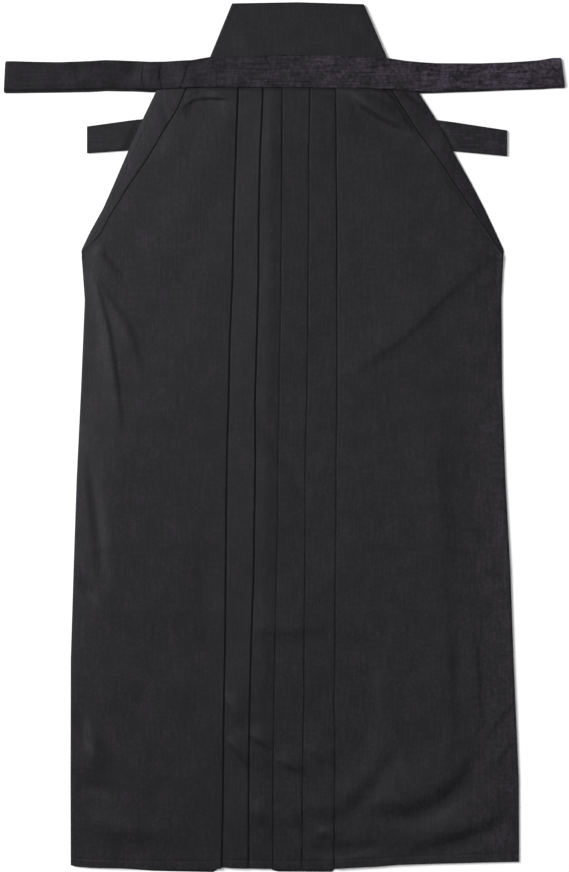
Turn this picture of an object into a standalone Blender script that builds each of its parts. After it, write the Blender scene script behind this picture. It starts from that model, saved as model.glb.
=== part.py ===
# Hakama: pleated trousers of dark cloth, laid flat on the floor with the front up.
# +X runs across towards the wearer's left leg, +Y runs up to the waist board, +Z leaves the floor.
# The origin lies on the floor, in the middle of the whole outline.
#
# In the tables every size is in millimetres. "across" is measured from the origin, and "down" from
# the seam under the waistband towards the hem.

import math

import bmesh
import bpy

MM = 0.001

CLOTH = 1.0
TIE_WALL = 1.4
BAND_WALL = 2.0
BOARD = 4.5
BOARD_ROUNDING = 1.1
GAP = 0.35
PLEAT_DEPTH = 13.0
TURN_STEPS = 4

# The back panels lie on the floor, and higher up they lie on the ties.
TIE_LIFT = TIE_WALL + GAP
LIFT_ENDS = 88.0
FLOOR_STARTS = 140.0

# Edges of the back panels: slanted at the side openings, then the side seams.
BACK_EDGES = {
    "down": (-10, 10, 34, 80, 117, 146, 175, 197, 204, 257, 367, 476, 585, 695, 840, 960),
    "right": (
        *(-149.5, -159, -170.5, -191.5, -207.5, -220.5, -236.5, -247),
        *(-246.5, -242.7, -247.3, -252.6, -256.3, -259.7, -260, -259.7),
    ),
    "left": (
        *(154.3, 166.5, 182, 207, 228, 243.5, 257, 267.2),
        *(266.5, 264, 264.8, 268.8, 274.8, 278.7, 285, 285.3),
    ),
}
# Slanted edges of the front panels. Below the last row they follow the side seams.
OPENING_EDGES = {
    "down": (0, 25, 50, 85, 120, 155, 178, 194, 203),
    "right": (-118.3, -129, -144.8, -165.2, -189, -211, -223, -238.5, -246.5),
    "left": (128.2, 143.8, 159.4, 185.6, 209, 232.8, 248.4, 259.3, 266.5),
}
# Edges of the five pleats. The right leg carries the first two and the left leg the rest.
PLEATS = {
    "down": (0, 88, 233, 379, 525, 670, 816, 950),
    "right_outer": (-57, -60, -63.8, -68.5, -71.3, -73, -75, -77),
    "right_inner": (-27, -30.4, -32.6, -36, -37.6, -41, -44, -44.6),
    "centre": (-1.4, -2, -3, -5.3, -7, -10, -12.6, -13),
    "left_inner": (32.6, 30.9, 30, 28.4, 26.5, 24.9, 23, 22.6),
    "left_outer": (63.5, 64.2, 65, 65.2, 64, 62.7, 62, 61.5),
}
FRONT_HEM = {
    "across": (-260, -155, -90, 55, 110, 137, 183, 286),
    "down": (946.5, 949.4, 948.6, 949.4, 946.4, 944, 942.7, 940.6),
}
BACK_HEM = {
    "across": (-260, -203, -84, -76, -20, -12, 60, 75, 286),
    "down": (944, 949.5, 953.3, 946.5, 946.5, 953, 953, 946, 938.5),
}
# Where the two back panels meet under the middle pleat, across from that pleat's edge.
BACK_MEETING = -1.0
# How far the right front panel runs on under the middle pleat.
UNDERLAP = PLEAT_DEPTH + 2.0

# Places of the sections through the panels, from the waist down to just above the hem.
FRONT_ROWS = (
    *(12, 34, 60, 88, 114, 140, 170, 194, 204, 228, 257, 300, 345, 390),
    *(435, 480, 530, 585, 640, 695, 745, 785, 820, 850, 880, 910, 932),
)
BACK_ROWS = (10, 34, 88, 114, 140, 175, 197, 204, 257, 367, 476, 585, 695, 840, 925)
# Shares of the single cloth between a front panel's outer edge and its first pleat.
OUTER_COLUMNS = (0, 0.03, 0.08, 0.16, 0.27, 0.39, 0.51, 0.63, 0.75, 0.87, 1)
BACK_COLUMNS = (0, 0.22, 0.45, 0.68, 0.72, 0.93, 0.97, 1)

# The single cloth swells up from its outer edge by this power of the share that is left to go. The
# large folds set in over the first share of its width and stop over the last.
SWELL = 2.6
FOLDS_SET_IN = 0.17
FOLDS_STOP = 0.12
# From one pleat to the next the cloth climbs back to the top, by shares of its width and height.
CLIMB = ((0.3, 0.22), (0.7, 0.78), (1, 1))

# The largest folds of the front panels: three places on each, half-width and height.
FOLDS = (
    # across, down, across, down, across, down, half-width, height
    (74, 8, 134, 49, 162, 63, 11, -2.2),
    (98, 4, 130, 22, 152, 39, 8, 1.0),
    (261, 203, 154, 302, 83, 355, 13, -1.6),
    (264, 235, 190, 300, 140, 350, 14, 1.0),
    (-224, 181, -200, 230, -173, 341, 11, -1.6),
    (-226, 230, -222, 330, -214, 420, 10, 1.1),
    (204, 425, 204, 500, 207, 580, 14, -2.2),
    (243, 420, 246, 520, 252, 640, 14, 1.1),
    (223, 820, 201, 855, 144, 882, 13, -2.6),
    (240, 770, 200, 815, 150, 845, 14, 1.2),
    (263, 890, 215, 912, 161, 926, 10, -2.2),
    (131, 798, 109, 838, 74, 882, 12, -1.6),
    (-257, 763, -235, 803, -219, 855, 11, -1.6),
    (-250, 600, -246, 660, -240, 730, 13, 1.0),
)
# A fold's height follows a half wave along its length, less this share of the wave at each end.
FOLD_FADE = 0.12

# The front tie from end to end: its upper and lower edge.
FRONT_TIE = {
    "across": (
        *(-330, -300, -272, -236, -218, -181, -163, -145, -112, -90, 0),
        *(62, 128, 147, 165, 183, 201, 238, 274, 311, 330),
    ),
    "top": (
        *(-32.8, -32, -31.6, -32.8, -34, -32.8, -31.8, -32.2, -34, -37.7, -40),
        *(-39.5, -36, -33, -31.6, -30.6, -30.4, -30.4, -31.6, -34, -37),
    ),
    "low": (
        *(2.6, 2.2, 1.8, 1.2, 0, 0.6, 1.6, 1.2, -0.6, -0.6, -0.6),
        *(0, 1.6, 2.7, 4, 3.6, 2.8, 1.6, 0, -1.2, -2.5),
    ),
}
TIE_HALF_SPAN = 341.5
# The tie is highest over the board, lower over the back panels and lowest on its own return.
OVER_BOARD = BOARD + GAP
OVER_BACK = TIE_LIFT + CLOTH + GAP
FRONT_TIE_RISE = {
    "across": (-341, -184, -164, -148, -112, 147, 165, 186, 341),
    "height": (
        *(TIE_LIFT, TIE_LIFT, OVER_BACK, OVER_BACK, OVER_BOARD),
        *(OVER_BOARD, OVER_BACK, TIE_LIFT, TIE_LIFT),
    ),
}
FRONT_TIE_WALL = {
    "across": (-163, -112, 147, 165),
    "wall": (TIE_WALL, BAND_WALL, BAND_WALL, TIE_WALL),
}
# Each folded end: the side it is on, how far its top leans back towards the middle, how far its
# return hangs below it, and where the return ends.
TIE_ENDS = {
    "right": {"side": -1, "lean": 2.0, "drop": 3.0, "return_ends": -112},
    "left": {"side": 1, "lean": 4.3, "drop": 2.2, "return_ends": 147},
}
BACK_TIES = {
    "back_himo_right": {
        "across": (-240, -188, -150, -75),
        "top": (46.2, 39.0, 34.5, 27.5),
        "low": (79.0, 75.3, 72.5, 64.5),
    },
    "back_himo_left": {
        "across": (271, 206, 165, 105),
        "top": (51.0, 41.0, 35.5, 28.0),
        "low": (82.6, 76.5, 72.5, 65.5),
    },
}
BOARD_OUTLINE = {
    "across": (-63.6, 16.6, 96.8, 136.5, -101.7),
    "down": (-103.2, -104.6, -102.2, -10.35, -10.35),
}
BACK_TOP = max(BOARD_OUTLINE["down"]) + GAP
WAIST_SEAM_Y = (max(BACK_HEM["down"]) + min(BOARD_OUTLINE["down"])) / 2


def colour(red, green, blue):
    """Linear colour of an 8-bit screen colour."""
    return tuple(((part / 255 + 0.055) / 1.055) ** 2.4 for part in (red, green, blue)) + (1,)


FINISHES = {
    # screen colour and roughness
    "front_panel": ((44, 42, 45), 0.78),
    "back_panel": ((46, 43, 48), 0.8),
    "himo": ((48, 45, 50), 0.76),
    "koshi_ita": ((45, 43, 47), 0.8),
}


def along(table, column, place, key="down"):
    """The value of a column where the table's key has this value, on straight lines between rows."""
    keys = table[key]
    values = table[column]
    for index in range(len(keys) - 1):
        share = (place - keys[index]) / (keys[index + 1] - keys[index])
        if share <= 1 or index == len(keys) - 2:
            share = min(max(share, 0), 1)
            return values[index] + share * (values[index + 1] - values[index])


def point(across, down, height):
    return (across * MM, (WAIST_SEAM_Y - down) * MM, height * MM)


def add_object(name, mesh, finish):
    screen, roughness = FINISHES[finish]
    material = bpy.data.materials.new(name)
    material.use_nodes = True
    shader = material.node_tree.nodes["Principled BSDF"]
    shader.inputs["Base Color"].default_value = colour(*screen)
    shader.inputs["Roughness"].default_value = roughness
    shader.inputs["Metallic"].default_value = 0
    mesh.materials.append(material)
    part = bpy.data.objects.new(name, mesh)
    bpy.context.scene.collection.objects.link(part)
    return part


def wall(name, finish, rows):
    """A closed wall of cloth. Each row holds pairs of points: on its upper and on its lower face."""
    form = bmesh.new()
    upper = [[form.verts.new(pair[0]) for pair in row] for row in rows]
    lower = [[form.verts.new(pair[1]) for pair in row] for row in rows]
    last_row = len(rows) - 1
    last = len(rows[0]) - 1
    for row in range(last_row):
        for column in range(last):
            for side in (upper, lower):
                form.faces.new(
                    (
                        side[row][column],
                        side[row][column + 1],
                        side[row + 1][column + 1],
                        side[row + 1][column],
                    )
                )
        for edge in (0, last):
            form.faces.new(
                (upper[row][edge], upper[row + 1][edge], lower[row + 1][edge], lower[row][edge])
            )
    for row in (0, last_row):
        for column in range(last):
            form.faces.new(
                (
                    upper[row][column],
                    upper[row][column + 1],
                    lower[row][column + 1],
                    lower[row][column],
                )
            )
    bmesh.ops.recalc_face_normals(form, faces=form.faces)
    mesh = bpy.data.meshes.new(name)
    form.to_mesh(mesh)
    form.free()
    mesh.shade_smooth()
    mesh.set_sharp_from_angle(angle=math.radians(40))
    return add_object(name, mesh, finish)


def thicken(line, walls):
    """Both faces of a wall of cloth around its middle line, in one upright plane: (across, height)
    pairs, with the face that starts on top first."""
    faces = []
    for index, (across, height) in enumerate(line):
        before = line[max(index - 1, 0)]
        after = line[min(index + 1, len(line) - 1)]
        arrive = math.atan2(height - before[1], across - before[0])
        leave = math.atan2(after[1] - height, after[0] - across)
        if index == 0:
            arrive = leave
        if index == len(line) - 1:
            leave = arrive
        bend = math.remainder(leave - arrive, math.tau)
        normal = arrive + bend / 2 + math.pi / 2
        reach = walls[index] / 2 / math.cos(bend / 2)
        step = (reach * math.cos(normal), reach * math.sin(normal))
        faces.append(((across + step[0], height + step[1]), (across - step[0], height - step[1])))
    return faces


def back_underside(down):
    share = (FLOOR_STARTS - down) / (FLOOR_STARTS - LIFT_ENDS)
    return TIE_LIFT * min(max(share, 0), 1)


def front_underside(down):
    return back_underside(down) + CLOTH + GAP


def turn(edge, top, drop, side, wall_width):
    """A U-turn whose outermost point lies at edge, from the height top to drop below it. side is the
    direction in which it points."""
    radius = drop / 2
    middle = edge - side * (radius + wall_width / 2)
    angles = [math.pi * step / TURN_STEPS for step in range(TURN_STEPS + 1)]
    return [(middle + side * radius * math.sin(a), top - radius + radius * math.cos(a)) for a in angles]


def fold_height(across, down):
    """Height of the large folds, each fading out towards its ends."""
    height = 0
    for x0, y0, x1, y1, x2, y2, half_width, crest in FOLDS:
        nearest = math.inf
        share = 0
        for number, (ax, ay, bx, by) in enumerate(((x0, y0, x1, y1), (x1, y1, x2, y2))):
            length = (bx - ax) ** 2 + (by - ay) ** 2
            step = ((across - ax) * (bx - ax) + (down - ay) * (by - ay)) / length
            step = min(max(step, 0), 1)
            away = math.hypot(across - ax - step * (bx - ax), down - ay - step * (by - ay))
            if away < nearest:
                nearest = away
                share = (number + step) / 2
        fade = math.sin(math.pi * (FOLD_FADE + (1 - 2 * FOLD_FADE) * share))
        height += crest * fade * math.exp(-((nearest / half_width) ** 2))
    return height


def front_edge(leg, down):
    if down < OPENING_EDGES["down"][-1]:
        return along(OPENING_EDGES, leg, down)
    return along(BACK_EDGES, leg, down)


def outer_cloth(side, edge, inner, base, down):
    """The single cloth from a front panel's outer edge to its first pleat."""
    pitch = CLOTH + GAP
    line = []
    for share in OUTER_COLUMNS:
        across = edge + share * (inner - edge)
        swell = 1 - (1 - share) ** SWELL
        calm = min(1, share / FOLDS_SET_IN, (1 - share) / FOLDS_STOP)
        height = max(2 * pitch * swell + calm * fold_height(side * across, down), 0)
        line.append((across, base + CLOTH / 2 + height))
    return line


def panel_line(side, down, folds, edge, end, last_is_open):
    """Middle line of a pleated front panel at one height, from its outer edge inwards. It is laid out
    with the outer edge at positive across, whichever leg it is for."""
    pitch = CLOTH + GAP
    base = front_underside(down)
    low = base + CLOTH / 2
    top = low + 2 * pitch
    room = CLOTH + pitch / 2
    line = outer_cloth(side, edge, folds[0] + PLEAT_DEPTH + room, base, down)
    for number, fold in enumerate(folds):
        line += turn(fold, top, pitch, -1, CLOTH)
        if last_is_open and fold == folds[-1]:
            line.append((end, top - pitch))
            break
        line += turn(fold + PLEAT_DEPTH, top - pitch, pitch, 1, CLOTH)
        start = fold - room
        line.append((start, low))
        if fold == folds[-1]:
            line.append((end, low))
            break
        goal = folds[number + 1] + PLEAT_DEPTH + room
        for share, rise in CLIMB:
            line.append((start + share * (goal - start), low + rise * 2 * pitch))
    return line


def front_panel(name, leg, side, fold_names, end_beyond_centre, last_is_open):
    rows = []
    for down in (0, *FRONT_ROWS, max(FRONT_HEM["down"])):
        folds = [side * along(PLEATS, fold, down) for fold in fold_names]
        end = side * (along(PLEATS, "centre", down) + end_beyond_centre)
        line = panel_line(side, down, folds, side * front_edge(leg, down), end, last_is_open)
        row = []
        for faces in thicken(line, [CLOTH] * len(line)):
            pair = []
            for across, height in faces:
                place = side * across
                if down == 0:
                    row_down = along(FRONT_TIE, "low", place, "across") + GAP
                elif down > FRONT_ROWS[-1]:
                    row_down = along(FRONT_HEM, "down", place, "across")
                else:
                    row_down = down
                pair.append(point(place, row_down, height))
            row.append(pair)
        rows.append(row)
    return wall(name, "front_panel", rows)


def back_panel(name, leg, side):
    rows = []
    for down in (BACK_TOP, *BACK_ROWS, max(BACK_HEM["down"])):
        edge = along(BACK_EDGES, leg, down)
        meeting = along(PLEATS, "centre", down) + BACK_MEETING + side * GAP / 2
        row = []
        for share in BACK_COLUMNS:
            across = edge + share * (meeting - edge)
            row_down = down
            if down > BACK_ROWS[-1]:
                row_down = along(BACK_HEM, "down", across, "across")
            under = back_underside(down)
            row.append((point(across, row_down, under + CLOTH), point(across, row_down, under)))
        rows.append(row)
    return wall(name, "back_panel", rows)


def front_tie():
    line = []
    walls = []
    edges = []

    def add(across, middle, wall_width, drop, lean):
        place = min(max(across, FRONT_TIE["across"][0]), FRONT_TIE["across"][-1])
        top = along(FRONT_TIE, "top", place, "across") + drop
        low = along(FRONT_TIE, "low", place, "across") + drop
        line.append((across, middle))
        walls.append(wall_width)
        edges.append((top, low, lean))

    def returned(end, places):
        for across in places:
            add(across, TIE_WALL / 2, TIE_WALL, end["drop"], 0)

    def folded(end):
        side = end["side"]
        points = turn(side * TIE_HALF_SPAN, TIE_WALL / 2 + TIE_LIFT, TIE_LIFT, side, TIE_WALL)
        for across, middle in points[::side]:
            add(across, middle, TIE_WALL, 0, -side * end["lean"])

    right = TIE_ENDS["right"]
    left = TIE_ENDS["left"]
    spread = FRONT_TIE["across"]
    returned(right, [place for place in reversed(spread) if place <= right["return_ends"]])
    folded(right)
    for across in spread:
        under = along(FRONT_TIE_RISE, "height", across, "across")
        wall_width = along(FRONT_TIE_WALL, "wall", across, "across")
        add(across, under + wall_width / 2, wall_width, 0, 0)
    folded(left)
    returned(left, [place for place in reversed(spread) if place >= left["return_ends"]])
    rows = []
    for faces, (top, low, lean) in zip(thicken(line, walls), edges):
        first, second = faces
        rows.append(
            [
                (point(first[0] + lean, top, first[1]), point(second[0] + lean, top, second[1])),
                (point(first[0], low, first[1]), point(second[0], low, second[1])),
            ]
        )
    return wall("front_himo", "himo", rows)


def back_tie(name):
    table = BACK_TIES[name]
    rows = []
    for across, top, low in zip(table["across"], table["top"], table["low"]):
        rows.append([(point(across, d, TIE_WALL), point(across, d, 0)) for d in (top, low)])
    return wall(name, "himo", rows)


def koshi_ita():
    form = bmesh.new()
    outline = zip(BOARD_OUTLINE["across"], BOARD_OUTLINE["down"])
    corners = [form.verts.new(point(across, down, 0)) for across, down in outline]
    face = form.faces.new(corners)
    raised = bmesh.ops.extrude_face_region(form, geom=[face])
    moved = [item for item in raised["geom"] if isinstance(item, bmesh.types.BMVert)]
    bmesh.ops.translate(form, vec=(0, 0, BOARD * MM), verts=moved)
    bmesh.ops.recalc_face_normals(form, faces=form.faces)
    mesh = bpy.data.meshes.new("koshi_ita")
    form.to_mesh(mesh)
    form.free()
    board = add_object("koshi_ita", mesh, "koshi_ita")
    rounding = board.modifiers.new("rounded edges", "BEVEL")
    rounding.width = BOARD_ROUNDING * MM
    rounding.segments = 3
    rounding.limit_method = "ANGLE"
    rounding.angle_limit = math.radians(40)
    return board


def main():
    for old in list(bpy.data.objects):
        bpy.data.objects.remove(old, do_unlink=True)
    koshi_ita()
    for name in BACK_TIES:
        back_tie(name)
    back_panel("back_panel_right", "right", -1)
    back_panel("back_panel_left", "left", 1)
    front_panel("front_panel_right", "right", -1, ("right_outer", "right_inner"), UNDERLAP, False)
    front_panel(
        "front_panel_left",
        "left",
        1,
        ("left_outer", "left_inner", "centre"),
        PLEAT_DEPTH,
        True,
    )
    front_tie()


main()
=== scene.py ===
import math

import bmesh
import bpy
import numpy as np
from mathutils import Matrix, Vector
from mathutils.bvhtree import BVHTree


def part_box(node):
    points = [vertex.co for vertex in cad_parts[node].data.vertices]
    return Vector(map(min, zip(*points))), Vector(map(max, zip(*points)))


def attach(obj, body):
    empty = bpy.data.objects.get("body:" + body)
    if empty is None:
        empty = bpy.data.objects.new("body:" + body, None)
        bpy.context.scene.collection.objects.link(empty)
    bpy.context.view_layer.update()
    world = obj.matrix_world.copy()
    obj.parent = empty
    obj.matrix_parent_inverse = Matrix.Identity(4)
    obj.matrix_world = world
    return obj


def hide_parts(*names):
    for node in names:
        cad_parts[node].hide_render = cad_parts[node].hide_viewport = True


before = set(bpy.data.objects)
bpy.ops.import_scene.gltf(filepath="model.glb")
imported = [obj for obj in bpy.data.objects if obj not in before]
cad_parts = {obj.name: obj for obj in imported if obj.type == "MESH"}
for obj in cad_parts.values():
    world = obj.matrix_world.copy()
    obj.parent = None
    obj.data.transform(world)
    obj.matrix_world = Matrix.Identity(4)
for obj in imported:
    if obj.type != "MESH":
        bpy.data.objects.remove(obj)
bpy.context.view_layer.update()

bpy.ops.object.select_all(action="DESELECT")

# Sizes are in millimetres. "across" runs from the middle towards the wearer's left leg, "down" runs
# from the seam under the waistband to the hem, and heights start at the floor.
mm = 0.001
boardBase = 10.35  # the waist board starts this far above the waist seam
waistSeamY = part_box("koshi_ita")[0].y / mm - boardBase
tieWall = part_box("back_himo_right")[1].z / mm
seamGap = 0.35
panelWall = 1.0  # of the panels in the frame
hemDown = 950.0  # the hem is this far below the waist seam
flatFrom = 140.0  # below this the back panels lie on the floor
liftedTo = 88.0  # above this they lie on the ties


def read(table, column, place, key="down"):
    return np.interp(place, table[key], table[column])


def smooth(share):
    share = np.clip(share, 0, 1)
    return share * share * (3 - 2 * share)


def backUnderside(down):
    return (tieWall + seamGap) * np.clip((flatFrom - down) / (flatFrom - liftedTo), 0, 1)


def addPiece(name, mesh, material):
    mesh.materials.append(material)
    piece = bpy.data.objects.new(name, mesh)
    bpy.context.scene.collection.objects.link(piece)
    return piece


def writePattern(mesh, places):
    # where each point lies on the cloth it was cut from, in metres
    corners = np.empty(len(mesh.loops), np.int32)
    mesh.loops.foreach_get("vertex_index", corners)
    layer = mesh.uv_layers.new(name="cloth")
    layer.data.foreach_set("uv", (places * mm)[corners].ravel())


def clothPiece(name, middle, wall, material, pattern):
    # middle holds rows x columns x 3 in mm; wall is one number or one for each point
    normal = np.cross(np.gradient(middle, axis=1), np.gradient(middle, axis=0))
    normal /= np.linalg.norm(normal, axis=2, keepdims=True)
    half = np.broadcast_to(np.asarray(wall, float) / 2, middle.shape[:2])[..., None]
    upper, lower = middle + normal * half, middle - normal * half
    points = np.concatenate([upper.reshape(-1, 3), lower.reshape(-1, 3)])
    rows, columns = middle.shape[:2]
    one = np.arange(rows * columns).reshape(rows, columns)
    two = one + rows * columns
    around = [
        (one[:-1, :-1], one[:-1, 1:], one[1:, 1:], one[1:, :-1]),
        (two[:-1, :-1], two[1:, :-1], two[1:, 1:], two[:-1, 1:]),
        (one[:-1, 0], one[1:, 0], two[1:, 0], two[:-1, 0]),
        (one[1:, -1], one[:-1, -1], two[:-1, -1], two[1:, -1]),
        (one[0, 1:], one[0, :-1], two[0, :-1], two[0, 1:]),
        (one[-1, :-1], one[-1, 1:], two[-1, 1:], two[-1, :-1]),
    ]
    faces = np.concatenate([np.stack([side.ravel() for side in sides], axis=1) for sides in around])
    mesh = bpy.data.meshes.new(name)
    mesh.from_pydata((points * mm).tolist(), [], faces.tolist())
    mesh.update()
    mesh.shade_smooth()
    mesh.set_sharp_from_angle(angle=math.radians(65))  # only the cut edges stay sharp
    writePattern(mesh, np.concatenate([pattern.reshape(-1, 2)] * 2))
    return addPiece(name, mesh, material)


def foldField(across, down, folds):
    # each fold: its route as (across, down) places, its half width, or the widths on the side to the
    # left of the route and on the side to its right, and its height
    height = np.zeros(across.shape)
    for route, widths, crest in folds:
        nearest = np.full(across.shape, 1e9)
        share = np.zeros(across.shape)
        onLeft = np.zeros(across.shape, bool)
        whole = sum(math.dist(a, b) for a, b in zip(route, route[1:]))
        gone = 0
        for (ax, ay), (bx, by) in zip(route, route[1:]):
            length = math.dist((ax, ay), (bx, by))
            step = np.clip(((across - ax) * (bx - ax) + (down - ay) * (by - ay)) / length**2, 0, 1)
            away = np.hypot(across - ax - step * (bx - ax), down - ay - step * (by - ay))
            closer = away < nearest
            nearest = np.where(closer, away, nearest)
            share = np.where(closer, (gone + step * length) / whole, share)
            onLeft = np.where(closer, (bx - ax) * (down - ay) < (by - ay) * (across - ax), onLeft)
            gone += length
        fade = np.sin(math.pi * (0.05 + 0.9 * share)) ** 0.8  # a fold runs out at both ends
        left, right = widths if isinstance(widths, tuple) else (widths, widths)
        height += crest * fade * np.exp(-((nearest / np.where(onLeft, left, right)) ** 2))
    return height


def ripples(across, down, seed, height, lengths=(60, 240)):
    # slow unevenness of cloth that lies by its own weight
    draw = np.random.default_rng(seed)
    field = np.zeros(across.shape)
    waves = 9
    for _ in range(waves):
        length = draw.uniform(*lengths)
        turn = draw.uniform(0, math.pi)
        along = across * math.cos(turn) + down * math.sin(turn)
        field += np.sin(along * math.tau / length + draw.uniform(0, math.tau))
    return field * height / math.sqrt(waves)


def linear(hexColour):
    parts = [int(hexColour[i : i + 2], 16) / 255 for i in (1, 3, 5)]
    parts = [part / 12.92 if part <= 0.04045 else ((part + 0.055) / 1.055) ** 2.4 for part in parts]
    return [*parts, 1]


def addNode(tree, kind, links=(), inputs=(), **settings):
    node = tree.nodes.new(kind)
    for name, value in settings.items():
        setattr(node, name, value)
    for socket, value in inputs:
        node.inputs[socket].default_value = value
    for source, socket in links:
        tree.links.new(source, node.inputs[socket])
    return node


# Twill of polyester and rayon, woven fine and pressed: near black and dull, with a soft shine where
# the cloth turns to the light. Its threads of 0.3 mm don't show from afar, so the twill line is drawn
# about eight times wider than real and faint, and the streaks of the warp a little stronger than real.
twill = {
    "linePeriod": 2.4,
    "lineShare": 0.08,
    "streakSize": (2.2, 40),  # of the warp, across and along it
    "streakShare": 0.25,
    "grainSize": 4.5,
    "grainShare": 0.5,
    "cloudSize": 22,
    "cloudShare": 0.15,
    "contrast": 1.0,
    "turned": 0.0,
    "paling": (0, 1, 1, 1),  # painted light and shade: from this place to this one, and how much paler the colour is painted at each, in place of lamp falloff and sheen
    "roughness": 0.5,
    "specular": 0.24,
    "sheen": 0.03,
}


def clothMaterial(name, darkHex, lightHex, **changes):
    cloth = {**twill, **changes}
    material = bpy.data.materials.new(name)
    material.use_nodes = True
    tree = material.node_tree
    shader = tree.nodes["Principled BSDF"]

    def noise(size, detail, roughness):
        # size is one number or (width, length) in mm
        wide, long = size if isinstance(size, tuple) else (size, size)
        place = addNode(
            tree,
            "ShaderNodeMapping",
            [(inMm.outputs["Vector"], "Vector")],
            [("Scale", (1 / wide, 1 / long, 1))],
        )
        return addNode(
            tree,
            "ShaderNodeTexNoise",
            [(place.outputs["Vector"], "Vector")],
            [("Scale", 1), ("Detail", detail), ("Roughness", roughness)],
        )

    places = addNode(tree, "ShaderNodeUVMap", uv_map="cloth")
    inMm = addNode(
        tree,
        "ShaderNodeMapping",
        [(places.outputs["UV"], "Vector")],
        [("Scale", (1000, 1000, 1000)), ("Rotation", (0, 0, cloth["turned"]))],
    )
    line = addNode(
        tree,
        "ShaderNodeTexWave",
        [(inMm.outputs["Vector"], "Vector")],
        [("Scale", 0.628 / cloth["linePeriod"]), ("Distortion", 0.5), ("Detail", 1)],
        wave_type="BANDS",
        bands_direction="DIAGONAL",
    )
    total = addNode(
        tree,
        "ShaderNodeMath",
        [(line.outputs["Fac"], 0)],
        [(1, cloth["lineShare"])],
        operation="MULTIPLY",
    )
    parts = (
        (noise(cloth["streakSize"], 3, 0.6), cloth["streakShare"]),
        (noise(cloth["grainSize"], 5, 0.8), cloth["grainShare"]),
        (noise(cloth["cloudSize"], 2, 0.5), cloth["cloudShare"]),
    )
    for part, portion in parts:
        total = addNode(
            tree,
            "ShaderNodeMath",
            [(part.outputs["Fac"], 0), (total.outputs[0], 2)],
            [(1, portion)],
            operation="MULTIPLY_ADD",
        )
    middle, spread = 0.54, 0.12 / cloth["contrast"]
    share = addNode(
        tree,
        "ShaderNodeMapRange",
        [(total.outputs[0], "Value")],
        [("From Min", middle - spread), ("From Max", middle + spread)],
    )
    # Painted light and shade: along the cloth the colour is painted paler or darker, standing in for
    # the left box's falloff and the cloth's sheen.
    start, end, first, last = cloth["paling"]
    lengthwise = addNode(tree, "ShaderNodeSeparateXYZ", [(places.outputs["UV"], "Vector")])
    paintedLightRamp = addNode(
        tree,
        "ShaderNodeMapRange",
        [(lengthwise.outputs["X"], "Value")],
        [("From Min", start * mm), ("From Max", end * mm), ("To Min", first), ("To Max", last)],
    )
    # the mottled colour share, times the painted light and shade
    pale = addNode(
        tree,
        "ShaderNodeMath",
        [(share.outputs["Result"], 0), (paintedLightRamp.outputs["Result"], 1)],
        operation="MULTIPLY",
    )
    colour = addNode(
        tree,
        "ShaderNodeMix",
        [(pale.outputs[0], 0)],
        [(6, linear(darkHex)), (7, linear(lightHex))],
        data_type="RGBA",
        clamp_factor=False,
    )
    bump = addNode(
        tree,
        "ShaderNodeBump",
        [(total.outputs[0], "Height")],
        [("Strength", 0.5), ("Distance", 0.0012)],
    )
    tree.links.new(colour.outputs[2], shader.inputs["Base Color"])
    tree.links.new(bump.outputs["Normal"], shader.inputs["Normal"])
    shader.inputs["Roughness"].default_value = cloth["roughness"]
    shader.inputs["Specular IOR Level"].default_value = cloth["specular"]
    shader.inputs["Sheen Weight"].default_value = cloth["sheen"]
    shader.inputs["Sheen Roughness"].default_value = 0.4
    shader.inputs["Sheen Tint"].default_value = linear("#b8b2bd")
    shader.inputs["Specular Tint"].default_value = linear("#f9f7ff")
    shader.inputs["Metallic"].default_value = 0
    return material


# Painted shade: the right front's colour is painted darker towards its pleats, to even out the tone the
# lamps give it.
rightTwill = clothMaterial(
    "right front twill", "#050405", "#201c21", contrast=2.0, paling=(-70, 10, 1, 0.8)
)
# Painted highlight: the left front is painted paler towards its outer side seam, for the sheen the side
# light gives the rounded edge there.
leftTwill = clothMaterial(
    "left front twill", "#080708", "#211e22", contrast=1.3, paling=(-130, -205, 1, 2.2)
)
backTwill = clothMaterial("back twill", "#070507", "#211d23", contrast=1.8)
# Painted light and shade: the front tie is painted darker at its right-leg end, nearer the left box,
# and paler towards its left-leg end, evening out the lamp's falloff and the band's sheen.
tieTwill = clothMaterial(
    "tie twill",
    "#040404",
    "#38313b",
    turned=math.pi / 2,
    contrast=1.2,
    specular=0.16,
    paling=(380, 860, 0.45, 2.3),
)
# Painted shade: the right back tie, nearer the left box, is painted darker than the left one.
backTieTwill = clothMaterial(
    "back tie twill", "#040404", "#2b252e", turned=math.pi / 2, contrast=2.4, paling=(-100, 100, 0.5, 1)
)
boardTwill = clothMaterial("board twill", "#050405", "#1b181d", contrast=2.4)

# Spun polyester sewing thread, black, a little smoother than the cloth.
threadMaterial = bpy.data.materials.new("black thread")
threadMaterial.use_nodes = True
threadShader = threadMaterial.node_tree.nodes["Principled BSDF"]
threadShader.inputs["Base Color"].default_value = linear("#0c0b0d")
threadShader.inputs["Roughness"].default_value = 0.5
threadShader.inputs["Specular IOR Level"].default_value = 0.25
print("materials made")

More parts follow.
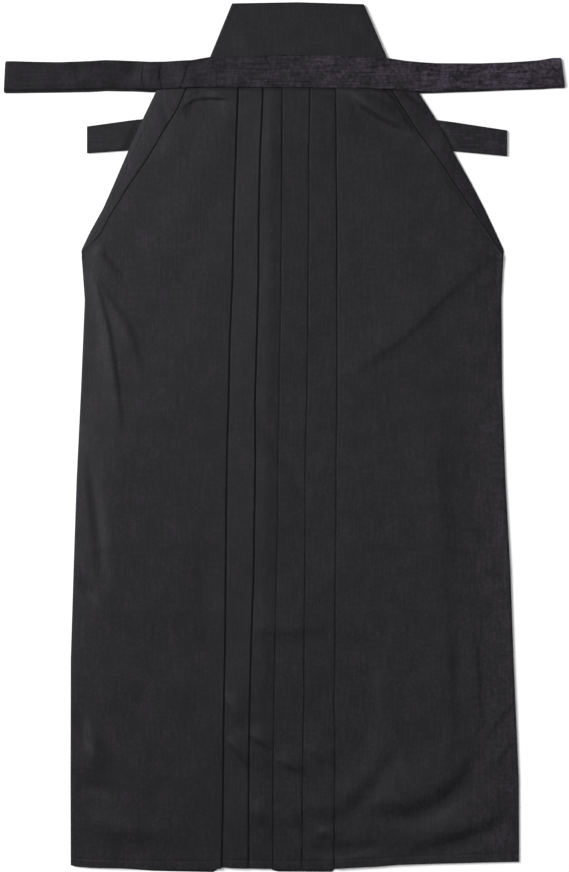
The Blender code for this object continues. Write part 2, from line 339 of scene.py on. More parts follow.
# Outlines shared by the pieces.
backEdges = {
    "down": (-10, 10, 34, 80, 117, 146, 175, 197, 204, 257, 367, 476, 585, 695, 840, 960),
    "right": (-149.5, -159, -170.5, -191.5, -207.5, -220.5, -236.5, -247)
    + (-246.5, -242.7, -247.3, -252.6, -256.3, -259.7, -260, -259.7),
    "left": (154.3, 166.5, 182, 207, 228, 243.5, 257, 267.2)
    + (266.5, 264, 264.8, 268.8, 274.8, 278.7, 285, 285.3),
}
openingEdges = {
    "down": (0, 25, 50, 85, 120, 155, 178, 194, 203),
    "right": (-118.3, -129, -144.8, -165.2, -189, -211, -223, -238.5, -246.5),
    "left": (128.2, 143.8, 159.4, 185.6, 209, 232.8, 248.4, 259.3, 266.5),
}
openingEnds = openingEdges["down"][-1]
bandEdges = {
    "across": (-330, -300, -272, -236, -218, -181, -163, -145, -112, -90, 0)
    + (62, 128, 147, 165, 183, 201, 238, 274, 311, 330),
    "top": (-32.8, -32, -31.6, -32.8, -34, -32.8, -31.8, -32.2, -34, -37.7, -40)
    + (-39.5, -36, -33, -31.6, -30.6, -30.4, -30.4, -31.6, -34, -37),
    "low": (2.6, 2.2, 1.8, 1.2, 0, 0.6, 1.6, 1.2, -0.6, -0.6, -0.6)
    + (0, 1.6, 2.7, 4, 3.6, 2.8, 1.6, 0, -1.2, -2.5),
}
pleatEdges = {
    "down": (0, 15, 88, 160, 233, 306, 379, 452, 525, 598, 670, 743, 816, 889, 950),
    "rightOuter": (-57, -57.5, -60, -62.4, -63.8, -67, -68.5, -70.6)
    + (-71.5, -72.1, -72.6, -74.2, -74.9, -75.7, -77),
    "rightInner": (-27, -27.3, -30.4, -32, -32.2, -34.2, -36.5, -36)
    + (-37.2, -38.3, -41, -42.8, -44.2, -44.4, -44.6),
    "centre": (-1.4, -1.5, -2, -2.2, -2.9, -4.1, -5.3, -6.4)
    + (-6.8, -8.7, -10.1, -11.4, -12.6, -12.8, -13),
    "leftInner": (32.6, 32.3, 30.7, 31, 30, 29.7, 28.6, 26.6)
    + (26.6, 26.2, 25, 25, 23.2, 22.7, 22.6),
    "leftOuter": (63.5, 63.5, 64.1, 64.8, 64.8, 65.1, 65.1, 64.1)
    + (63.9, 62.9, 62.6, 61.8, 62.2, 61.7, 61.5),
}

# Front panels: a knife pleat is three layers deep, and the cloth beside it sinks into a narrow groove.
front = {
    "wall": 0.45,
    "pitch": 0.6,  # from one layer of a pleat to the next
    "pleatDepth": 13.0,
    "crown": 3.4,  # middle of the top layer over the underside, where a pleat folds
    "grooveWidth": 2.1,
    "rowSpans": ((0, 6, 6), (6, 66, 40), (66, 350, 94), (350, 720, 84), (720, 932, 71)),
    "hemRows": 19,
    "outerColumns": 76,
    "stripColumns": 11,
    "turnSteps": 4,
    "seamWidth": 0.8,
    "riseWidth": 50.0,
    "openLift": 1.7,  # the slanted borders are lifted this much by the cloth turned in behind them
    "foldStrength": 1.6,
    "ripple": 0.3,
    "lowest": 0.28,  # the middle of the wall never goes below this
    "layeredDip": 1.1,  # a trough sinks no further than this where the pleats lie in layers
    "underlap": 15.0,  # the right leg goes on this far under the middle pleat
    "calmEdge": {"right": 18, "left": 8},  # creases fade out this near the outer edges
    "hemDepth": 10.0,
}
besideFold = np.array([0.5, -0.3, -1.0, -1.6, -1.92, -2.1, -3.0])  # columns that draw a groove
edges = {
    # the outer edge of each leg: its thick seam, and how much the cloth rises or sinks beside it
    "down": (0, 190, 230, 330, 460, 560, 650, 760, 850, 950),
    "rightSeam": (0, 0, 0.3, 0.3, 0.3, 0.3, 0.3, 0.5, 0.5, 0.5),
    "rightRise": (0.4, 0.4, 1.4, 2.0, 3.2, 4.0, 2.4, 1.2, 1.0, 0.8),
    "leftSeam": (0, 0, 0.3, 0.8, 1.8, 2.2, 2.2, 2.4, 1.2, 0.8),
    "leftRise": (0.4, 0.4, 1.2, 0.4, -1.6, -2.4, -2.4, -2.6, 0, 0.2),
}
grooves = {
    # how deep the cloth sinks beside each pleat
    "down": (0, 60, 200, 240, 500, 850, 950),
    "rightOuter": (1.2, 1.2, 1.1, 1.1, 1.2, 1.3, 1.3),
    "rightInner": (1.3, 1.2, 1.2, 1.8, 1.9, 1.5, 1.3),
    "centre": (1.4, 1.5, 0.9, 0.9, 0.8, 1.0, 0.9),
    "leftInner": (1.3, 1.2, 1.0, 1.0, 1.0, 1.1, 1.3),
    "leftOuter": (2.6, 2.4, 1.7, 1.1, 1.0, 1.1, 1.4),
}
frontHem = {
    "across": (-260, -254, -236, -155, -90, -78, -74, -64, -27, 55, 82)
    + (110, 137, 183, 238, 274, 286),
    "down": (944.5, 946.4, 947.6, 949.4, 949.4, 948.6, 947.2, 948.2, 948.8, 949.4, 947.6)
    + (946.4, 944, 942.7, 941.4, 940.8, 940.6),
}
# Each fold: its route, its half width or the two widths beside the route, and its height.
frontFolds = [
    # right leg
    (((-227, 184), (-220, 208), (-207, 224), (-197, 240)), (4, 14), 0.6),
    (((-228, 233), (-214, 257), (-191, 292), (-175, 343)), (5, 12), 0.6),
    (((-229, 238), (-215, 290), (-207, 340), (-198, 411)), (2.5, 10), 0.8),
    (((-237, 454), (-228, 520), (-219, 604)), 7, -1.0),
    (((-253, 590), (-244, 606), (-229, 622)), 5, -1.3),
    (((-258, 760), (-246, 783), (-235, 803)), 6, -1.0),
    (((-238, 770), (-232, 800), (-226, 830)), 9, 1.2),
    (((-258, 820), (-240, 848), (-213, 858)), 7, -1.2),
    (((-236, 880), (-205, 900), (-150, 905)), 14, 1.0),
    (((-124, 22), (-107, 12.5), (-90, 11), (-66, 12.5)), (12, 2), 0.5),
    (((-126, 26), (-108, 16), (-90, 14.5), (-66, 16)), (2, 16), -1.2),
    (((-116, 8), (-102, 5), (-84, 6)), (1.8, 8), -0.6),
    (((-150, 84), (-128, 77), (-112, 72)), (20, 5), 0.4),
    (((-96, 560), (-92, 640), (-88, 700)), 14, -0.9),
    # left leg
    (((78, 2), (96, 17), (114, 29), (133, 39), (156, 47)), (18, 5.5), 1.6),
    (((76, 13), (90, 27), (108, 39), (128, 49), (150, 58)), (5.5, 22), -1.9),
    (((104, 3), (120, 8), (140, 18)), (5, 1.6), 0.8),
    (((256, 198), (185, 260), (150, 296), (80, 348)), (5, 22), 1.0),
    (((238, 239), (258, 239)), (8, 2), 0.8),
    (((180, 424), (187, 500), (192, 585)), (14, 34), 1.3),
    (((236, 598), (256, 596), (274, 600)), 6, -0.9),
    (((197, 630), (199, 710), (201, 790)), (8, 26), 1.2),
    (((229, 650), (233, 720), (237, 790)), (5, 18), 0.9),
    (((278, 745), (260, 767), (243, 790)), (3, 14), 0.8),
    (((277, 793), (264, 809), (256, 826)), (3, 14), 0.7),
    (((222, 806), (208, 832), (188, 850), (150, 866), (108, 863)), (15, 34), 2.4),
    (((230, 820), (214, 852), (184, 874), (150, 886), (114, 884)), (12, 10), -2.0),
    (((262, 876), (236, 892), (211, 901), (157, 915)), (12, 22), 1.9),
    (((266, 892), (240, 908), (215, 917), (161, 930)), (10, 8), -1.8),
    (((126, 794), (104, 832), (70, 872), (38, 868)), (12, 26), 1.1),
    (((134, 802), (112, 844), (76, 888), (38, 883)), (14, 10), -0.8),
    (((98, 650), (100, 740), (98, 850)), (16, 40), -1.4),
    (((34, 926), (70, 928), (109, 922)), 6, -1.8),
    (((40, 905), (52, 904), (64, 906)), 6, 1.2),
    # over the pleats
    (((-33, 402), (-11, 434), (12, 472), (30, 502)), 7, -1.0),
    (((-11, 206), (4, 207), (18, 206)), 5, -0.5),
    (((-41, 656), (0, 658), (62, 654)), (14, 6), 0.7),
    (((-72, 736), (-63, 752), (-52, 776)), (14, 3.5), 1.2),
    (((-70, 790), (-58, 802), (-43, 822)), (12, 3.5), 1.5),
    (((-42, 784), (-30, 792), (-14, 802)), (12, 3.5), 1.1),
    (((-9, 814), (6, 822), (24, 831)), (12, 3.5), 1.5),
    (((27, 803), (42, 809), (60, 822)), (12, 4.5), 1.2),
    (((-38, 868), (-26, 884), (-14, 890)), (14, 8), 0.9),
    (((-12, 872), (0, 884), (22, 894)), (16, 8), 1.2),
    (((28, 862), (42, 876), (60, 888)), (14, 8), 1.0),
]


def sunk(places, fold, depth):
    # the groove that the cloth makes beside a pleat
    return depth * smooth((front["grooveWidth"] - (fold - places)) / 0.15)


def pleatedRow(leg, side, down, names, edge, end, lastIsOpen):
    # (place outwards from the middle, height over the underside) along the cloth, from its outer edge
    wall, pitch, crown, depth = (front[key] for key in ("wall", "pitch", "crown", "pleatDepth"))
    radius = pitch / 2
    turns = np.linspace(0, math.pi, front["turnSteps"] + 1)
    folds = [side * read(pleatEdges, name, down) for name in names]
    middleFold = side * read(pleatEdges, "centre", down)
    inner = folds[0] + depth + wall
    places = edge + np.linspace(0, 1, front["outerColumns"]) ** 1.4 * (inner - edge)
    inward = edge - places
    seam, rise = read(edges, leg + "Seam", down), read(edges, leg + "Rise", down)
    height = wall / 2 + seam * (1 - np.exp(-inward / front["seamWidth"]))
    height += rise * (1 - (1 - np.clip(inward / front["riseWidth"], 0, 1)) ** 1.8)
    height += front["openLift"] * (1 - smooth((down - openingEnds + 15) / 40))
    line = [(places, height + (crown - height[-1]) * inward / inward[-1])]
    nearFold = folds[0] + np.array([8, 4, 2, 1.2, 0.8])
    line.append((nearFold, np.full(len(nearFold), crown)))

    def topLayer(place, number):
        # height of the layer that folds at this pleat
        if number == 0:
            return crown + 0 * place
        return crown - 2 * pitch * (place - folds[number]) / (folds[number - 1] - folds[number])

    for number, (fold, name) in enumerate(zip(folds, names)):
        bend = fold + radius + wall / 2 - radius * np.sin(turns)
        line.append((bend, crown - radius + radius * np.cos(turns)))
        isLast = number == len(folds) - 1
        if isLast and lastIsOpen:
            run = np.linspace(fold + 4, end, 3)
            line.append((run, topLayer(run, number) - pitch))
            break
        inside = np.array([fold + 6])
        line.append((inside, topLayer(inside, number) - pitch))
        back = fold + depth - radius - wall / 2
        level = topLayer(back, number) - pitch - radius
        line.append((back + radius * np.sin(turns), level + radius * np.cos(turns)))
        hidden = fold + np.array([7, 4, 2])
        if isLast:
            # the lowest strip, which goes on under the middle pleat
            strip = np.linspace(fold - 5, middleFold + 5, front["stripColumns"])
            strip = np.concatenate([strip, middleFold - besideFold[::-1], [middleFold - 4, end]])
        else:
            nextBend = folds[number + 1] + radius + wall / 2 + 0.4
            strip = np.linspace(fold - 5, nextBend, front["stripColumns"])
        run = np.concatenate([hidden, fold + besideFold, strip])
        covered = topLayer(run, number) - 2 * pitch
        if isLast:
            room = (run - middleFold) / (fold - middleFold)
            bare = crown - 2 * pitch + 0.5 * np.sin(math.pi * np.clip(room, 0, 1)) ** 2
            bare = bare - 0.05 * np.clip(middleFold - run, 0, None)
            bare = bare - sunk(-run, -middleFold, read(grooves, "centre", down))
        else:
            bare = topLayer(run, number + 1)
        low = np.where(run > fold, np.minimum(covered, bare), bare)
        line.append((run, low - sunk(run, fold, read(grooves, name, down))))
    return [np.concatenate(part) for part in zip(*line)]


def frontPanel(name, leg, side, names, reach, lastIsOpen, seed, material):
    spans = [np.linspace(*span, endpoint=False) for span in front["rowSpans"]]
    hemFrom = front["rowSpans"][-1][1]
    downs = np.concatenate([*spans, np.linspace(hemFrom, hemDown, front["hemRows"])])
    rows = []
    for down in downs:
        edge = read(openingEdges if down < openingEnds else backEdges, leg, down)
        end = side * (read(pleatEdges, "centre", down) + reach)
        rows.append(pleatedRow(leg, side, down, names, side * edge, end, lastIsOpen))
    across = side * np.array([row[0] for row in rows])
    height = np.array([row[1] for row in rows])
    step = np.hypot(np.diff(across, axis=1), np.diff(height, axis=1))
    along = np.concatenate([np.zeros((len(downs), 1)), np.cumsum(step, axis=1)], axis=1)
    down = np.repeat(downs[:, None], across.shape[1], axis=1)
    # the first rows follow the waistband's lower edge, and the last ones the hem
    bandLow = read(bandEdges, "low", across, "across") + seamGap
    hemLow = read(frontHem, "down", across, "across")
    down = down + np.clip(1 - down / 30, 0, 1) * bandLow
    down = down + np.clip((down - 900) / 50, 0, 1) * (hemLow - hemDown)
    shift = front["foldStrength"] * foldField(across, down, frontFolds)
    shift += ripples(across, down, seed, front["ripple"])
    shift *= smooth(along / front["calmEdge"][leg])
    # a trough goes down to the back panel in single cloth, and less far where the pleats lie in layers
    last = front["outerColumns"] - 1
    toPleat = np.clip(1 - along / along[:, last : last + 1], 0, 1)
    single = np.arange(across.shape[1]) <= last
    dip = front["layeredDip"]
    deepest = dip + smooth(toPleat * 5) * (height - front["lowest"] - dip)
    deepest = np.where(single, np.maximum(deepest, 0.01), dip)
    shift = np.where(shift < 0, -deepest * np.tanh(-shift / deepest), shift)
    # the stitched line over the hem, and the seam under the waistband
    shift -= 0.25 * np.exp(-(((hemLow - down - front["hemDepth"]) / 0.9) ** 2))
    shift -= 0.9 * np.exp(-(((down - bandLow) / 2.2) ** 2))
    height = np.maximum(height + shift, front["lowest"])
    height = height + backUnderside(down) + panelWall + seamGap
    middle = np.stack([across, waistSeamY - down, height], axis=2)
    pattern = np.stack([along - along[:, last : last + 1], down], axis=2)
    return clothPiece(name, middle, front["wall"], material, pattern)


rightPleats, leftPleats = ("rightOuter", "rightInner"), ("leftOuter", "leftInner", "centre")
frontRight = frontPanel(
    "right_front_cloth", "right", -1, rightPleats, front["underlap"], False, 11, rightTwill
)
frontLeft = frontPanel(
    "left_front_cloth", "left", 1, leftPleats, front["pleatDepth"], True, 12, leftTwill
)
print("front panels made")

# Back panels: plain cloth on the floor, of which the slanted borders and bits of the hem show.
back = {
    "wall": 0.7,
    "rows": 260,
    "hemRows": 12,
    "borderColumns": 30,
    "coveredColumns": 50,
    "hemFrom": 935.0,
    "hemDown": 953.3,
    "meeting": -1.0,
    "puff": 1.7,  # the slanted borders swell this much
    "gap": 2.0,
    "rest": 0.37,  # the middle of the wall, where the cloth lies flat
    "lowest": 0.36,
}
backFolds = [
    (((146, 5), (155, 10), (165, 17)), 2.6, -1.0),
    (((-150, 22), (-143, 34), (-139, 48)), 3, -0.5),
    (((205, 116), (214, 112)), 3, -0.5),
    (((190, 44), (197, 60), (204, 76)), (2.5, 14), 2.3),
]
backHem = {
    "across": (-260, -203, -160, -84, -80, -20, -12, 58, 62, 286),
    "down": (943, 948.5, 951.6, 953.3, 946.5, 946.5, 952.5, 953, 946, 938.5),
}


def backPanel(name, leg, side, seed):
    top = -boardBase + seamGap
    upper = np.linspace(top, back["hemFrom"], back["rows"])[:-1]
    downs = np.concatenate([upper, np.linspace(back["hemFrom"], back["hemDown"], back["hemRows"])])
    rows = []
    for down in downs:
        edge = side * read(backEdges, leg, down)
        meeting = side * (read(pleatEdges, "centre", down) + back["meeting"]) + seamGap / 2
        # the slanted border, then a narrow gap, then what the front panel covers
        border = edge - side * read(openingEdges, leg, down) if down < openingEnds else 0
        border = max(border, 3.0)
        gap = min(back["gap"], 0.5 * border)
        places = [
            edge - np.linspace(0, 1, back["borderColumns"]) ** 1.3 * (border - gap),
            edge - border + gap * np.array([0.9, 0.5, 0]),
            np.linspace(edge - border - 3, meeting, back["coveredColumns"]),
        ]
        rows.append(np.concatenate(places))
    across = side * np.array(rows)
    down = np.repeat(downs[:, None], across.shape[1], axis=1)
    hemLow = read(backHem, "down", across, "across")
    down = down + np.clip((down - 900) / 53.3, 0, 1) * (hemLow - back["hemDown"])
    fromEdge = np.abs(across - across[:, :1])
    inBorder = np.arange(across.shape[1]) < back["borderColumns"]
    shown = inBorder * smooth((openingEnds - downs) / 12)[:, None]
    puffed = back["puff"] * (1 - np.exp(-fromEdge / 14)) * shown
    puffed -= 0.08 * np.exp(-(((fromEdge - 8) / 0.9) ** 2)) * shown
    uneven = ripples(across, down, seed, 0.08) * smooth(fromEdge / 20)
    height = np.maximum(back["rest"] + puffed + uneven, back["lowest"])
    height += backUnderside(down) + foldField(across, down, backFolds)
    middle = np.stack([across, waistSeamY - down, height], axis=2)
    return clothPiece(name, middle, back["wall"], backTwill, np.stack([across, down], axis=2))


backRight = backPanel("right_back_cloth", "right", -1, 21)
backLeft = backPanel("left_back_cloth", "left", 1, 22)
print("back panels made")

# Front tie: one folded and sewn ribbon, which is the waistband in the middle. Both ends are folded
# behind it and lie on the floor, a little lower than the ribbon itself.
tie = {
    "wall": 1.3,
    "halfSpan": 341.5,
    "straightTo": 290.0,  # from here on the ends lean
    "columns": {
        "across": (-336.5, -182, -106, -42, -8, 143, 190, 336.5),
        "counts": (120, 150, 60, 60, 110, 90, 110),
    },
    "returnColumn": 2.5,
    "backColumns": 60,  # of the two back ties, which are sewn alike
    "turnSteps": 8,
    "rows": 27,
    "lengthRow": 7,  # the length of the cloth is measured along this row
    "edgeShares": (0, 0.012, 0.035, 0.075),
    "edgeWalls": (0.3, 0.6, 0.84, 0.96),
}
tieRise = {
    # underside and wall of the ribbon, which climbs over the panels
    "across": (-341, -184, -164, -148, -112, 147, 165, 186, 341),
    "height": (1.75, 1.75, 3.1, 3.1, 4.85, 4.85, 3.1, 1.75, 1.75),
    "wall": (1.3, 1.3, 1.3, 1.5, 1.9, 1.9, 1.5, 1.3, 1.3),
}
tieEnds = {
    "right": {"side": -1, "lean": 2.0, "drop": 3.0, "returnEnds": -112, "tilt": -3.0},
    "left": {"side": 1, "lean": 4.3, "drop": 2.2, "returnEnds": 147, "tilt": 3.0},
}
tieFolds = [
    (((-172, -27), (-174, -12), (-171, 2)), (0.5, 16), 0.6),
    (((-148, -34), (-153, -18), (-150, 1)), (0.5, 16), 0.9),
    (((-116, -35), (-122, -14), (-128, 2)), (0.5, 16), 0.8),
    (((-24, -40), (-17, -22), (-21, -1)), (0.5, 16), 0.6),
    (((170, -30), (163, -17), (165, -8), (162, 3)), (0.5, 14), 0.9),
    (((181, -28), (175, -15), (174, -5), (169, 3)), (0.5, 8), 0.6),
    (((-250, -28), (-252, -8)), 6, -0.5),
    (((230, -26), (226, -4)), 7, -0.6),
    (((300, -30), (296, -8)), 7, -0.5),
]


def ribbonRows(line):
    # line holds (across, top, low, middle height, wall, lean) for each column, and the long edges are
    # thinner than the middle
    across, top, low, height, wall, lean = np.array(line).T
    edgeShares, edgeWalls = np.array(tie["edgeShares"]), tie["edgeWalls"]
    middle = np.linspace(0, 1, tie["rows"] + 2)[1:-1]
    middle = middle[(middle > 0.1) & (middle < 0.9)]
    share = np.concatenate([edgeShares, middle, 1 - edgeShares[::-1]])[:, None]
    walls = np.concatenate([edgeWalls, np.ones(len(middle)), edgeWalls[::-1]])[:, None]
    places = across + lean * (1 - share)
    down = top + share * (low - top)
    return places, down, share, height + 0 * share, wall * walls


def frontTie():
    line = []

    def add(across, height, wall, drop, lean):
        inside = min(max(across, bandEdges["across"][0]), bandEdges["across"][-1])
        top = float(read(bandEdges, "top", inside, "across")) + drop
        low = float(read(bandEdges, "low", inside, "across")) + drop
        line.append((across, top, low, height, wall, lean))

    straight = tie["halfSpan"] - 5
    radius = (tieWall + seamGap) / 2
    turns = np.linspace(0, math.pi, tie["turnSteps"] + 1)

    def turned(end):
        side = end["side"]
        middle = tie["halfSpan"] - radius - tie["wall"] / 2
        for turn in turns[::side]:
            drop = end["drop"] * turn / math.pi
            across = side * (middle + radius * math.sin(turn))
            height = tieWall / 2 + radius + radius * math.cos(turn)
            add(across, height, tie["wall"], drop, -side * end["lean"])

    def leaning(across):
        end = tieEnds["right" if across < 0 else "left"]
        start = tie["straightTo"]
        return -end["side"] * end["lean"] * max(0.0, (abs(across) - start) / (straight - start))

    right, left = tieEnds["right"], tieEnds["left"]
    for across in np.arange(right["returnEnds"], -straight, -tie["returnColumn"]):
        add(across, tieWall / 2, tie["wall"], right["drop"], leaning(across))
    turned(right)
    spans = zip(tie["columns"]["across"], tie["columns"]["across"][1:], tie["columns"]["counts"])
    columns = [np.linspace(*span, endpoint=False) for span in spans]
    for across in np.concatenate(columns):
        wall = float(read(tieRise, "wall", across, "across"))
        height = float(read(tieRise, "height", across, "across")) + wall / 2
        add(across, height, wall, 0, leaning(across))
    turned(left)
    for across in np.arange(straight, left["returnEnds"], -tie["returnColumn"]):
        add(across, tieWall / 2, tie["wall"], left["drop"], leaning(across))
    places, down, share, height, wall = ribbonRows(line)
    lifted = smooth((height - 1.6) / 0.6)
    shift = foldField(places, down, tieFolds) + ripples(places, down, 31, 0.3, (28, 120))
    # one edge of each end stands a little higher than the other
    tilt = np.interp(places, (-330, -200, -130, 150, 200, 330), (0.4, 1, 0, 0, 1, 0.4))
    tilt *= np.where(places < 0, right["tilt"], left["tilt"])
    height = height + (shift + np.where(tilt > 0, share * tilt, (share - 1) * tilt)) * lifted
    row = tie["lengthRow"]
    step = np.hypot(np.diff(places[row]), np.diff(height[row]))
    along = np.repeat(np.concatenate([[0], np.cumsum(step)])[None], len(places), axis=0)
    middle = np.stack([places, waistSeamY - down, height], axis=2)
    return clothPiece("front_tie", middle, wall, tieTwill, np.stack([along, down], axis=2))


waistTie = frontTie()

# Back ties: their sewn ends show beside the slanted borders.
backTies = {
    "right": {
        "across": (-240, -188, -150, -75),
        "top": (46.2, 39, 34.5, 27.5),
        "low": (79, 75.3, 72.5, 64.5),
    },
    "left": {
        "across": (105, 165, 206, 271),
        "top": (28, 35.5, 41, 51),
        "low": (65.5, 72.5, 76.5, 82.6),
    },
}


def backTie(name, leg, seed):
    table = backTies[leg]
    line = []
    for across in np.linspace(table["across"][0], table["across"][-1], tie["backColumns"]):
        top, low = (float(read(table, edge, across, "across")) for edge in ("top", "low"))
        line.append((across, top, low, tieWall / 2, tie["wall"], 0))
    places, down, _, height, wall = ribbonRows(line)
    # it rises where it comes out from under the panel
    side = -1 if leg == "right" else 1
    outside = side * (places - read(backEdges, leg, down))
    height = height + 0.9 * smooth((outside - 1) / 9) + ripples(places, down, seed, 0.12, (30, 110))
    height = np.maximum(height, tieWall / 2)
    middle = np.stack([places, waistSeamY - down, height], axis=2)
    return clothPiece(name, middle, wall, backTieTwill, np.stack([places, down], axis=2))


backTieRight = backTie("right_back_tie", "right", 41)
backTieLeft = backTie("left_back_tie", "left", 42)
print("ties made")

# Waist board: a stiff board under stretched cloth, a trapezoid with a slightly arched upper edge.
board = {
    "thickness": 4.5,
    "rounding": 1.3,
    "baseLeft": -101.7,
    "baseRight": 136.5,
    "topLeft": -63.6,
    "topRight": 96.8,
    "topDown": (-103.2, -104.6, -102.2),
    "across": 64,
    "up": 32,
}


def waistBoard():
    bpy.ops.mesh.primitive_grid_add(x_subdivisions=board["across"], y_subdivisions=board["up"], size=2)
    piece = bpy.context.object
    piece.name = "waist_board"
    bpy.ops.object.mode_set(mode="EDIT")
    form = bmesh.from_edit_mesh(piece.data)
    for point in form.verts:
        share, rise = (point.co.x + 1) / 2, (point.co.y + 1) / 2
        left = board["baseLeft"] + rise * (board["topLeft"] - board["baseLeft"])
        right = board["baseRight"] + rise * (board["topRight"] - board["baseRight"])
        top = float(np.interp(share, (0, 0.5, 1), board["topDown"]))
        down = -boardBase + rise * (top + boardBase)
        point.co = Vector((left + share * (right - left), waistSeamY - down, 0)) * mm
    bmesh.update_edit_mesh(piece.data)
    bpy.ops.mesh.select_all(action="SELECT")
    bpy.ops.mesh.extrude_region_move(TRANSFORM_OT_translate={"value": (0, 0, board["thickness"] * mm)})
    bpy.ops.mesh.select_all(action="SELECT")
    bpy.ops.mesh.normals_make_consistent(inside=False)
    bpy.ops.object.mode_set(mode="OBJECT")
    rounding = piece.modifiers.new("rounded edges", "BEVEL")
    rounding.width = board["rounding"] * mm
    rounding.segments = 4
    rounding.limit_method = "ANGLE"
    rounding.angle_limit = math.radians(50)
    bpy.ops.object.modifier_apply(modifier=rounding.name)
    mesh = piece.data
    points = np.empty(len(mesh.vertices) * 3)
    mesh.vertices.foreach_get("co", points)
    points = points.reshape(-1, 3)
    places, down = points[:, 0] / mm, waistSeamY - points[:, 1] / mm
    stretched = ripples(places, down, 51, 0.14, (25, 120)) - 0.1
    onTop = points[:, 2] > (board["thickness"] - 0.5) * mm
    points[:, 2] += np.where(onTop, stretched * mm, 0)
    mesh.vertices.foreach_set("co", points.ravel())
    mesh.update()
    mesh.shade_smooth()
    while mesh.uv_layers:
        mesh.uv_layers.remove(mesh.uv_layers[0])
    writePattern(mesh, np.stack([places, down], axis=1))
    mesh.materials.append(boardTwill)
    return piece


koshiIta = waistBoard()
print("board made")

# Sewing: each stitch is a short thread sunk a little into the cloth.
stitch = {
    "first": 1.5,  # from the start of a route
    "length": 2.5,
    "spacing": 3.3,
    "radius": 0.2,
    "proud": 0.02,
    "tallestStep": 0.8,  # a stitch that would span a taller step is left out
}
bpy.ops.mesh.primitive_uv_sphere_add(segments=6, ring_count=4, radius=1)
oneStitch = bpy.context.object
bpy.ops.object.mode_set(mode="EDIT")
bpy.ops.mesh.select_all(action="SELECT")
bpy.ops.transform.resize(value=(0.5, stitch["radius"], stitch["radius"]), center_override=(0, 0, 0))
bpy.ops.object.mode_set(mode="OBJECT")
stitchPoints = np.array([point.co for point in oneStitch.data.vertices])
stitchFaces = [list(face.vertices) for face in oneStitch.data.polygons]
bpy.data.objects.remove(oneStitch, do_unlink=True)


def sewn(name, piece, routes):
    # rows of stitches over this piece, along routes of (across, down) places
    cloth = BVHTree.FromObject(piece, bpy.context.evaluated_depsgraph_get())
    points, faces = [], []

    def onCloth(place):
        start = Vector((place[0] * mm, (waistSeamY - place[1]) * mm, 0.03))
        hit = cloth.ray_cast(start, Vector((0, 0, -1)))[0]
        return None if hit is None else np.array(hit) / mm

    for route in routes:
        route = np.array(route, float)
        lengths = np.concatenate([[0], np.cumsum(np.hypot(*np.diff(route, axis=0).T))])
        for start in np.arange(stitch["first"], lengths[-1] - stitch["length"], stitch["spacing"]):
            ends = [
                onCloth([np.interp(at, lengths, route[:, axis]) for axis in (0, 1)])
                for at in (start, start + stitch["length"])
            ]
            if ends[0] is None or ends[1] is None:
                continue
            if abs(ends[1][2] - ends[0][2]) > stitch["tallestStep"]:
                continue
            run = ends[1] - ends[0]
            forward = run / np.linalg.norm(run)
            sideways = np.cross([0, 0, 1], forward)
            upwards = np.cross(forward, sideways)
            shape = stitchPoints @ np.stack([run, sideways, upwards])
            first = len(points) * len(stitchPoints)
            points.append(shape + (ends[0] + ends[1]) / 2 + [0, 0, stitch["proud"]])
            faces += [[corner + first for corner in face] for face in stitchFaces]
    mesh = bpy.data.meshes.new(name)
    mesh.from_pydata((np.concatenate(points) * mm).tolist(), [], faces)
    mesh.shade_smooth()
    return addPiece(name, mesh, threadMaterial)


def beside(leg, table, offset, start, end):
    # a route this far inside an edge
    side = -1 if leg == "right" else 1
    return [(float(read(table, leg, down)) - side * offset, down) for down in np.arange(start, end, 8)]


def overHem(places):
    depth = front["hemDepth"]
    return [(place, float(read(frontHem, "down", place, "across")) - depth) for place in places]


def overBand(edge, inset, places):
    return [(place, float(read(bandEdges, edge, place, "across")) + inset) for place in places]


frontRightSewing = sewn(
    "right_front_sewing",
    frontRight,
    [
        overHem(np.arange(-257, -14, 6)),
        beside("right", openingEdges, 7, 8, 196),
    ],
)
frontLeftSewing = sewn(
    "left_front_sewing",
    frontLeft,
    [
        overHem(np.arange(-10, 283, 6)),
        beside("left", openingEdges, 7, 8, 196),
        beside("left", backEdges, 3.6, 575, 938),
    ],
)
backRightSewing = sewn("right_back_sewing", backRight, [beside("right", backEdges, 8, 6, 190)])
backLeftSewing = sewn("left_back_sewing", backLeft, [beside("left", backEdges, 8, 6, 190)])
tieSewing = sewn(
    "front_tie_sewing",
    waistTie,
    [
        overBand("low", -3.5, np.arange(-330, 331, 6)),
        overBand("top", 3.0, np.arange(-330, -150, 6)),
        overBand("top", 3.0, np.arange(185, 331, 6)),
    ],
)
sewingRoutes = {
    leg: [
        [(place, float(read(table, "top", place, "across")) + 3) for place in table["across"]],
        [(place, float(read(table, "low", place, "across")) - 3) for place in table["across"]],
    ]
    for leg, table in backTies.items()
}
backTieRightSewing = sewn("right_back_tie_sewing", backTieRight, sewingRoutes["right"])
backTieLeftSewing = sewn("left_back_tie_sewing", backTieLeft, sewingRoutes["left"])
boardSewing = sewn(
    "board_sewing",
    koshiIta,
    [[(-95.5, -16), (-59.9, -99.2), (16.6, -100.4), (93.4, -98.2), (130.5, -16)]],
)
print("sewing made")

# Plain pale floor, white card under soft light.
bpy.ops.mesh.primitive_plane_add(size=12, location=(0, 0, -0.0006))
floor = bpy.context.object
floor.name = "floor"
card = bpy.data.materials.new("white card")
card.use_nodes = True
cardShader = card.node_tree.nodes["Principled BSDF"]
cardShader.inputs["Base Color"].default_value = linear("#fcfcfc")
cardShader.inputs["Roughness"].default_value = 0.9
cardShader.inputs["Specular IOR Level"].default_value = 0.1
floor.data.materials.append(card)

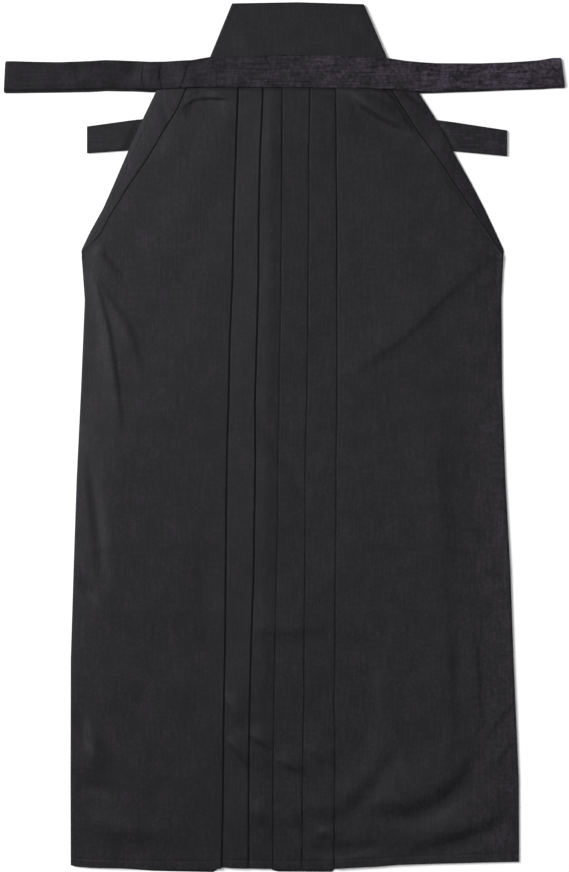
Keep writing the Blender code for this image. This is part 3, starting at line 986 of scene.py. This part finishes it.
# What each piece stands for in the frame, and the cut of each cloth piece.
placing = [
    # piece, its sewing, node, slot
    # flat size and cut area in metres, how it is held, what it rests on
    (
        (frontRight, frontRightSewing, "front_panel_right", "front_cloth"),
        ((0.32, 0.95), 0.283, "laid", [backRight]),
    ),
    (
        (frontLeft, frontLeftSewing, "front_panel_left", "front_cloth"),
        ((0.366, 0.95), 0.311, "laid", [backLeft]),
    ),
    (
        (backRight, backRightSewing, "back_panel_right", "back_cloth"),
        ((0.258, 0.963), 0.225, "laid", [floor]),
    ),
    (
        (backLeft, backLeftSewing, "back_panel_left", "back_cloth"),
        ((0.3, 0.963), 0.257, "laid", [floor]),
    ),
    (
        (waistTie, tieSewing, "front_himo", "tie_cloth"),
        ((1.1, 0.036), None, "folded", [frontRight, frontLeft]),
    ),
    (
        (backTieRight, backTieRightSewing, "back_himo_right", "tie_cloth"),
        ((0.167, 0.037), None, "laid", [floor]),
    ),
    (
        (backTieLeft, backTieLeftSewing, "back_himo_left", "tie_cloth"),
        ((0.168, 0.036), None, "laid", [floor]),
    ),
    ((koshiIta, boardSewing, "koshi_ita", "board_cloth"), None),
]
for (piece, sewing, node, slot), sheet in placing:
    for shown in (piece, sewing):
        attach(shown, "root")
    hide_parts(node)

# A large soft box high on the left, a weak one overhead and a pale surround.
lamps = [
    # name, place, size, power
    ("left box", (-3.05, 1.4, 3.4), (2.0, 2.2), 250),
    ("top box", (0.55, -0.1, 3.6), (1.5, 1.5), 13),
]
for name, place, size, power in lamps:
    data = bpy.data.lights.new(name, "AREA")
    data.shape = "RECTANGLE"
    data.size, data.size_y = size
    data.energy = power
    lamp = bpy.data.objects.new(name, data)
    lamp.location = place
    lamp.rotation_euler = (Vector((0, 0, 0)) - Vector(place)).to_track_quat("-Z", "Y").to_euler()
    bpy.context.scene.collection.objects.link(lamp)
world = bpy.data.worlds.new("studio")
bpy.context.scene.world = world
world.use_nodes = True
world.node_tree.nodes["Background"].inputs["Color"].default_value = linear("#f2f4f6")
world.node_tree.nodes["Background"].inputs["Strength"].default_value = 0.42

# The camera looks straight down, and its frame is 1.0593 m high at the cloth.
cameraData = bpy.data.cameras.new("camera")
cameraData.lens = 100
cameraData.sensor_width = 36
camera = bpy.data.objects.new("camera", cameraData)
camera.location = (0.0002, 0.0016, 2.9475)
bpy.context.scene.collection.objects.link(camera)
bpy.context.scene.camera = camera
bpy.context.scene.view_settings.view_transform = "Standard"
